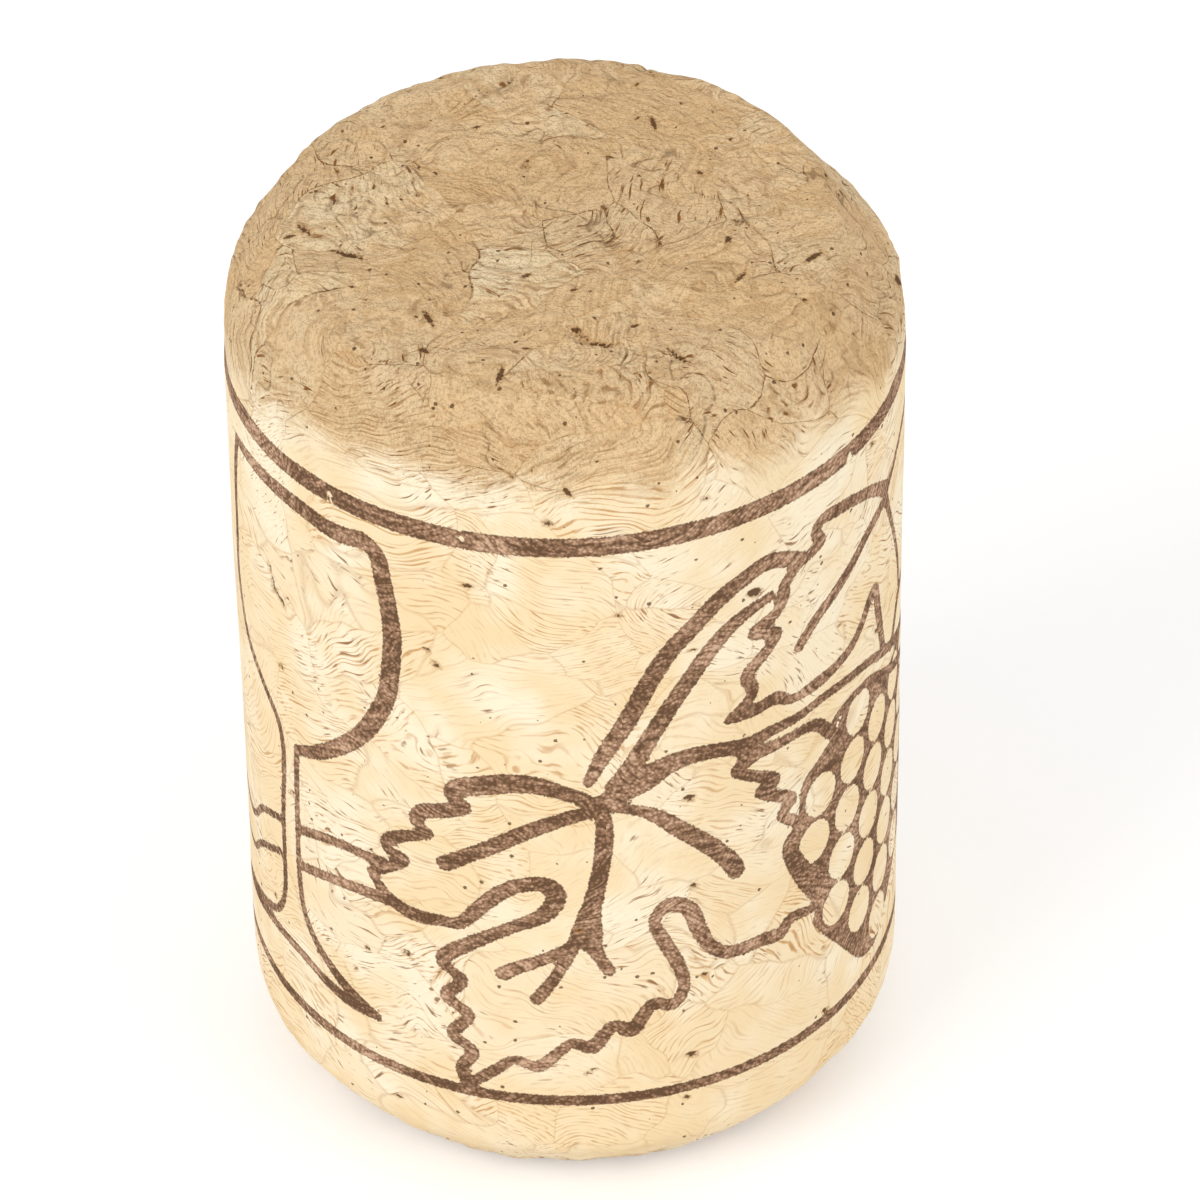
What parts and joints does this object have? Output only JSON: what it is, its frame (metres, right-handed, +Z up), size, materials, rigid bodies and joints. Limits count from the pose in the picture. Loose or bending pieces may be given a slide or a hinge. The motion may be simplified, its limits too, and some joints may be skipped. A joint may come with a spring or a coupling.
{
  "type": "cork stopper",
  "caption": "Straight cork stopper of pressed granules with bevelled, rounded rims, small pores and cracks, and a brown line print of vine leaf, glass and grapes.",
  "frame": {"origin": "centre of the foot, the flat end that the stopper stands on", "axes": "+Z up along the stopper's own axis; -Y is the printed front; +X is to the right of the front"},
  "size_m": [0.022, 0.022, 0.033],
  "materials": {
    "cork": "matt, ground"
  },
  "bodies": {
    "root": {"stopper": "cork"}
  },
  "joints": []
}
